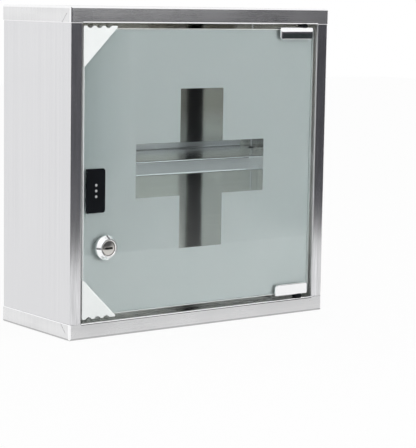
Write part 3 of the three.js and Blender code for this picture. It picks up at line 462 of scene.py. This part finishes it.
BLACK = plastic(
    "black_plastic",
    (0.005, 0.006, 0.008),
    roughness=0.34,
    grain_scale=1600.0,
    relief=0.1,
    drift=0.8,
    shine=0.12,
)
WHITE = plastic(
    "white_plastic",
    (0.8, 0.82, 0.815),
    roughness=0.42,
    grain_scale=1400.0,
    relief=0.08,
    drift=0.97,
    depth=0.6 * MM,
)
MARK = plastic(
    "mark_paint",
    (0.42, 0.43, 0.44),
    roughness=0.5,
    grain_scale=1500.0,
    relief=0.05,
    drift=0.95,
)
LINER = plastic(
    "soft_liner",
    (0.55, 0.59, 0.57),
    roughness=0.55,
    grain_scale=1200.0,
    relief=0.15,
)
RUBBER = plastic(
    "rubber",
    (0.022, 0.023, 0.025),
    roughness=0.75,
    grain_scale=1100.0,
    relief=0.3,
    drift=0.8,
)


# Finished copies of the CAD nodes, with welded, softened edges
WELD = 0.002 * MM
FLAT_ANGLE = 0.4
SHADE_ANGLE = 50.0
WIDE_ROUND = 0.75 * MM
WIDE_STEPS = 4
ON_AXIS = 0.99
INWARD = 0.5
RETURN_REACH = 140 * MM


def body_of(node):
    return nodes[node]["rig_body"]


def node_box(node):
    """The lowest and the highest corner of a node."""
    places = [corner.co for corner in nodes[node].data.vertices]
    low = Vector([min(place[axis] for place in places) for axis in range(3)])
    high = Vector([max(place[axis] for place in places) for axis in range(3)])
    return low, high


def off_front(face):
    return abs(face.normal.y) < ON_AXIS


def faces_front(face):
    return face.normal.y < -ON_AXIS


def faces_up(face):
    return face.normal.z > ON_AXIS


def bent(face):
    return max(abs(part) for part in face.normal) < ON_AXIS


def faces_inside(face):
    """Whether a side panel's face looks at the middle of the cabinet."""
    out = face.calc_center_median().x
    return face.normal.x * out < -INWARD * abs(out)


def on_return(face):
    """Whether a side panel's face is the one beside the door."""
    return faces_inside(face) and abs(face.calc_center_median().x) < RETURN_REACH


def is_sharp(edge, limit):
    return len(edge.link_faces) == 2 and edge.calc_face_angle() > math.radians(limit)


def round_edges(work, edges, offset, steps):
    bmesh.ops.bevel(
        work,
        geom=edges,
        offset=offset,
        offset_type="OFFSET",
        segments=steps,
        profile=0.5,
        affect="EDGES",
        clamp_overlap=True,
    )


def finished(
    node, material, soften=0.12 * MM, steps=2, limit=35.0, others=(), wide=None, shape=None
):
    """A copy of a CAD node with coplanar faces joined and its sharp edges rounded.

    Each pair in others is a material and the rule for the faces that it goes on. Edges that
    wide(edge) picks are rounded by WIDE_ROUND first. Last, shape(work) changes the mesh.
    """
    work = bmesh.new()
    work.from_mesh(nodes[node].data)
    bmesh.ops.remove_doubles(work, verts=work.verts, dist=WELD)
    flat = math.radians(FLAT_ANGLE)
    bmesh.ops.dissolve_limit(work, angle_limit=flat, verts=work.verts, edges=work.edges)
    if wide:
        rim = [edge for edge in work.edges if is_sharp(edge, limit) and wide(edge)]
        round_edges(work, rim, WIDE_ROUND, WIDE_STEPS)
    sharp = [edge for edge in work.edges if is_sharp(edge, limit)]
    round_edges(work, sharp, soften, steps)
    if shape:
        shape(work)
    for face in work.faces:
        face.smooth = True
        for index, (_, rule) in enumerate(others, start=1):
            if rule(face):
                face.material_index = index
    mesh = bpy.data.meshes.new(node + "_finish")
    work.to_mesh(mesh)
    work.free()
    mesh.set_sharp_from_angle(angle=math.radians(SHADE_ANGLE))
    mesh.materials.append(material)
    for other, _ in others:
        mesh.materials.append(other)
    piece = bpy.data.objects.new(node + "_finish", mesh)
    scene.collection.objects.link(piece)
    even = piece.modifiers.new("even_normals", "WEIGHTED_NORMAL")
    even.keep_sharp = True
    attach(piece, body_of(node))
    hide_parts(node)


# Sheet metal
RAIL_HEIGHT = 15 * MM
LEVEL_TOLERANCE = 0.05 * MM
SKIN = 0.7 * MM


def on_rim(node, level):
    """The rule for edges on one height that lie on the outer skin of a cover."""
    low, high = node_box(node)

    def on_skin(place):
        outside = place.y - low.y < SKIN or high.x - abs(place.x) < SKIN
        return outside and abs(place.z - level) < LEVEL_TOLERANCE

    return lambda edge: all(on_skin(end.co) for end in edge.verts)


def at_foot(face):
    """Whether a face is one of the bends round the underside of the cabinet, which carry painted
    shade.
    """
    return bent(face) and face.calc_center_median().z < RAIL_HEIGHT / 4


def on_sill(face):
    """Whether a face is the ledge under the door."""
    level = face.calc_center_median().z - RAIL_HEIGHT
    return faces_up(face) and abs(level) < LEVEL_TOLERANCE


COVER_OTHERS = {
    "top_cover": [(COVER_BEND, bent)],
    "bottom_cover": [(COVER_BEND, bent), (COVER_FOOT_PAINTED_SHADE, at_foot), (SILL_STEEL, on_sill)],
}
COVER_RIMS = {"top_cover": cad_high[2] - RAIL_HEIGHT, "bottom_cover": cad_low[2] + RAIL_HEIGHT}
for node, level in COVER_RIMS.items():
    rim_rule = on_rim(node, level)
    finished(node, COVER_STEEL, others=COVER_OTHERS[node], wide=rim_rule)

SIDE_BEND = 1.3 * MM
BEND_POWER = 12.0


def square_bend(work):
    """Tightens the front bend on the right-hand edge of a side panel."""
    middle_x = max(corner.co.x for corner in work.verts) - SIDE_BEND
    middle_y = min(corner.co.y for corner in work.verts) + SIDE_BEND
    for corner in work.verts:
        across = corner.co.x - middle_x
        ahead = middle_y - corner.co.y
        if across <= 0.0 or ahead <= 0.0:
            continue
        length = math.hypot(across, ahead)
        powers = (across / length) ** BEND_POWER + (ahead / length) ** BEND_POWER
        stretch = powers ** (-1.0 / BEND_POWER)
        corner.co.x = middle_x + across * stretch
        corner.co.y = middle_y - ahead * stretch


SIDE_OTHERS = [(STILE_STEEL, faces_front), (INNER_STEEL, faces_inside), (RETURN_STEEL, on_return)]
for node in ("left_side_panel", "right_side_panel"):
    finished(node, WALL_STEEL, others=SIDE_OTHERS, shape=square_bend)

SHELF_OTHERS = [(SHELF_BEND, bent), (SHELF_TOP, faces_up)]
finished("shelf", SHELF_STEEL, others=SHELF_OTHERS)
finished("back_panel", BACK_STEEL, others=[(BACK_INSIDE, faces_front)])
for node in ("shelf_support_left", "shelf_support_right", "latch_bracket"):
    finished(node, BRACKET_STEEL)

# Hinges and lock, with a slightly domed plug face and painted shade in the key slot
for node in ("hinge_clamp_top", "hinge_clamp_bottom", "lock_barrel"):
    finished(node, CHROME)

PLUG_CROWN = 0.35 * MM
PLUG_CUTS = 7
CUT_TOLERANCE = 1e-7
FACE_DEPTH = 0.3 * MM
KEY_SLOT_SHARE = 0.62
plug_low, plug_high = node_box("lock_plug")
plug_radius = (plug_high.x - plug_low.x) / 2
plug_centre = (plug_low.x + plug_high.x) / 2
plug_middle = Vector((plug_centre, plug_low.y, plug_high.z - plug_radius))


def dome_plug(work):
    """Cuts the face of the plug into a grid and raises it towards its middle."""
    for normal in (Vector((1, 0, 0)), Vector((0, 0, 1))):
        for step in range(-PLUG_CUTS, PLUG_CUTS + 1):
            point = plug_middle + normal * (step * plug_radius / (PLUG_CUTS + 1))
            bmesh.ops.bisect_plane(
                work,
                geom=list(work.verts) + list(work.edges) + list(work.faces),
                dist=CUT_TOLERANCE,
                plane_co=point,
                plane_no=normal,
            )
    for corner in work.verts:
        away = corner.co - plug_middle
        if away.y < FACE_DEPTH:
            out = min(math.hypot(away.x, away.z) / plug_radius, 1.0)
            corner.co.y -= PLUG_CROWN * (1.0 - out * out)


def in_key_slot(face):
    away = face.calc_center_median() - plug_middle
    near = math.hypot(away.x, away.z) < KEY_SLOT_SHARE * plug_radius
    return near and away.y > FACE_DEPTH


finished("lock_plug", PLUG_METAL, others=[(KEY_SLOT_PAINTED_SHADE, in_key_slot)], shape=dome_plug)
for node in ("strike_plate", "lock_cam"):
    finished(node, ZINC)

FIXINGS = [node for node in nodes if "rivet" in node or "screw" in node or "hinge_pin" in node]
FIXINGS += ["lock_nut", "latch_spring"]
for node in sorted(FIXINGS):
    finished(node, FIXING_STEEL, soften=0.08 * MM)

# Door
finished("glass_pane", CLEAR, soften=0.05 * MM, others=[(GROUND_EDGE, off_front)])
finished("frosted_layer", FROST, soften=0.01 * MM, steps=1)
finished("push_plate", BLACK, soften=0.25 * MM, steps=3)

# A plain mark of three raised dots on the push plate
DOT_RADIUS = 1.3 * MM
DOT_HEIGHT = 0.3 * MM
DOT_PITCH = 5.2 * MM
DOT_SIDES = 20
DOT_RINGS = 4


def make_dot(place, name):
    """A low dome that looks to the front."""
    work = bmesh.new()
    rings = []
    for ring in range(DOT_RINGS):
        slope = ring / DOT_RINGS * math.pi / 2
        corners = []
        for side in range(DOT_SIDES):
            turn = 2 * math.pi * side / DOT_SIDES
            out = DOT_RADIUS * math.cos(slope)
            offset = (out * math.cos(turn), -DOT_HEIGHT * math.sin(slope), out * math.sin(turn))
            corners.append(work.verts.new(place + Vector(offset)))
        rings.append(corners)
    tip = work.verts.new(place + Vector((0, -DOT_HEIGHT, 0)))
    work.faces.new(list(reversed(rings[0])))
    for low, high in zip(rings, rings[1:]):
        for side in range(DOT_SIDES):
            after = (side + 1) % DOT_SIDES
            work.faces.new((low[side], low[after], high[after], high[side]))
    for side in range(DOT_SIDES):
        after = (side + 1) % DOT_SIDES
        work.faces.new((rings[-1][side], rings[-1][after], tip))
    bmesh.ops.recalc_face_normals(work, faces=work.faces)
    for face in work.faces:
        face.smooth = len(face.verts) < DOT_SIDES
    mesh = bpy.data.meshes.new(name)
    work.to_mesh(mesh)
    work.free()
    mesh.materials.append(MARK)
    dot = bpy.data.objects.new(name, mesh)
    scene.collection.objects.link(dot)
    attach(dot, body_of("push_plate"))


push_low, push_high = node_box("push_plate")
push_middle = (push_low + push_high) / 2
for step in (-1, 0, 1):
    dot_place = Vector((push_middle.x, push_low.y, push_middle.z + step * DOT_PITCH))
    make_dot(dot_place, f"push_mark_{step + 2}")

# Plastic and rubber pieces, and the magnet
for end in ("top", "bottom"):
    finished("corner_guard_" + end, WHITE, soften=0.2 * MM)
    finished("hinge_liner_" + end, LINER, soften=0.05 * MM)
    finished("hinge_bush_" + end, BLACK)
for node in ("latch_housing", "latch_plunger"):
    finished(node, WHITE, soften=0.2 * MM)
finished("lock_gasket", RUBBER, soften=0.2 * MM)
finished("latch_magnet", MAGNET)


# Stage: pale floor, white surround, a dark card in front and soft lamps
def seen_directly(tree):
    """One for camera, glossy and transmission rays, and nought for the rest."""
    path = tree.add("LightPath")
    seen = tree.math("ADD", path.outputs["Is Camera Ray"], path.outputs["Is Glossy Ray"])
    seen = tree.math("ADD", seen, path.outputs["Is Transmission Ray"])
    return tree.math("MINIMUM", seen, 1.0)


def make_panel(name, corners, material):
    mesh = bpy.data.meshes.new(name)
    mesh.from_pydata(corners, [], [tuple(range(len(corners)))])
    mesh.materials.append(material)
    panel = bpy.data.objects.new(name, mesh)
    scene.collection.objects.link(panel)
    return panel


FLOOR_REACH = 4.0
FLOOR_WHITE = 0.92
FLOOR_MIRRORED = 0.93
FLOOR_DARKENS = (-0.17, -0.1)


def make_floor():
    """White to the camera but for its shadow, and a little darker in the front's reflections."""
    look = Look("stage_floor")
    look.set(Base_Color=grey(0.97), Roughness=0.9, Specular_IOR_Level=0.1)
    ahead = look.span(look.split(look.place())["X"], *FLOOR_DARKENS)
    mirrored = look.math("MULTIPLY", look.add("LightPath").outputs["Is Glossy Ray"], ahead)
    strength = look.span(mirrored, 0.0, 1.0, 1.0, FLOOR_MIRRORED)
    glow = look.add("Emission", {"Color": grey(1.0), "Strength": strength})
    look.mix_in(look.math("MULTIPLY", seen_directly(look), FLOOR_WHITE), glow)
    corners = [
        (-FLOOR_REACH, -FLOOR_REACH, 0.0),
        (FLOOR_REACH, -FLOOR_REACH, 0.0),
        (FLOOR_REACH, FLOOR_REACH, 0.0),
        (-FLOOR_REACH, FLOOR_REACH, 0.0),
    ]
    make_panel("stage_floor", corners, look.material)


CARD_FRONT = -0.475
CARD_LEFT = -0.6
CARD_RIGHT = 1.0
CARD_MIDDLE = 0.25
CARD_LOW_TOP = 0.37
CARD_HIGH_TOP = 0.65
CARD_SHADES = ((0.15, 0.148, 0.16, 1.0), (0.103, 0.101, 0.112, 1.0))
CARD_SHADE_RANGE = (0.12, 0.4)
WING_BACK = -0.15
WING_TOP = 0.5

# The foot of the card fades to a paler grey, higher up in one stretch
FOOT_RANGE = (0.12, 0.53)
FOOT_HEIGHTS = (0.06, 0.015)
FOOT_EXTRA_HEIGHT = 0.06
FOOT_STARTS = (0.17, 0.25)
FOOT_EXTRA_ENDS = (0.36, 0.45)
FOOT_PALE_ENDS = (0.49, 0.51)
FOOT_GREYS = (0.3, 0.85)

SPOT_LOW = (0.428, 0.252)
SPOT_HIGH = (0.492, 0.269)
SPOT_AHEAD = 2 * MM
SPOT_COLOUR = (0.028, 0.038, 0.038, 1.0)


def make_spot():
    """A darker patch on the card."""
    look = Look("stage_spot")
    look.set(Base_Color=SPOT_COLOUR, Roughness=1.0, Specular_IOR_Level=0.0)
    left, low = SPOT_LOW
    right, high = SPOT_HIGH
    front = CARD_FRONT + SPOT_AHEAD
    corners = [(left, front, low), (right, front, low), (right, front, high), (left, front, high)]
    return make_panel("stage_spot", corners, look.material)


def make_card():
    """A card with a wing at its right end, seen by reflections and through glass only."""
    look = Look("stage_card")
    place = look.split(look.place())
    starts = look.span(place["X"], *FOOT_STARTS)
    extra = look.math("MINIMUM", starts, look.span(place["X"], *FOOT_EXTRA_ENDS, 1.0, 0.0))
    pale = look.math("MINIMUM", starts, look.span(place["X"], *FOOT_PALE_ENDS, 1.0, 0.0))
    foot_height = look.math(
        "ADD",
        look.span(place["X"], *FOOT_RANGE, *FOOT_HEIGHTS),
        look.math("MULTIPLY", extra, FOOT_EXTRA_HEIGHT),
    )
    foot_low, foot_high = FOOT_GREYS
    foot_colour = look.blend(pale, grey(foot_low), grey(foot_high))
    card_colour = look.blend(look.span(place["X"], *CARD_SHADE_RANGE), *CARD_SHADES)
    look.set(
        Base_Color=look.blend(look.span(place["Z"], 0.0, foot_height), foot_colour, card_colour),
        Roughness=1.0,
        Specular_IOR_Level=0.0,
    )
    corners = [
        (CARD_LEFT, CARD_FRONT, 0.0),
        (CARD_RIGHT, CARD_FRONT, 0.0),
        (CARD_RIGHT, CARD_FRONT, CARD_HIGH_TOP),
        (CARD_MIDDLE, CARD_FRONT, CARD_LOW_TOP),
        (CARD_LEFT, CARD_FRONT, CARD_LOW_TOP),
    ]
    wing_corners = [
        (CARD_RIGHT, CARD_FRONT, 0.0),
        (CARD_RIGHT, WING_BACK, 0.0),
        (CARD_RIGHT, WING_BACK, WING_TOP),
        (CARD_RIGHT, CARD_FRONT, WING_TOP),
    ]
    card = make_panel("stage_card", corners, look.material)
    spot = make_spot()
    wing = make_panel("stage_wing", wing_corners, look.material)
    wing.visible_transmission = False
    for panel in (card, spot, wing):
        panel.visible_camera = False
        panel.visible_diffuse = False
        panel.visible_shadow = False


WORLD_LIGHT = 0.78


def make_world():
    """A white surround that lights the object a little less than it shows."""
    world = bpy.data.worlds.new("studio")
    world.use_nodes = True
    tree = Tree(world.node_tree)
    surround = tree.nodes["Background"]
    tree.feed(surround.inputs["Color"], grey(1.0))
    strength = tree.span(seen_directly(tree), 0.0, 1.0, WORLD_LIGHT, 1.0)
    tree.feed(surround.inputs["Strength"], strength)
    scene.world = world


def make_lamp(name, place, aim, size, power):
    data = bpy.data.lights.new(name, "AREA")
    data.size = size
    data.energy = power
    lamp = bpy.data.objects.new(name, data)
    lamp.location = place
    lamp.rotation_euler = (Vector(aim) - Vector(place)).to_track_quat("-Z", "Y").to_euler()
    scene.collection.objects.link(lamp)
    return lamp


make_floor()
make_card()
make_world()
make_lamp("key_lamp", place=(-0.9, -0.9, 1.5), aim=(0, 0, 0.15), size=1.2, power=1.6)
fill = make_lamp("fill_lamp", place=(0.45, -1.35, 0.1), aim=(0, 0, 0.1), size=1.0, power=12.5)
fill.visible_glossy = False
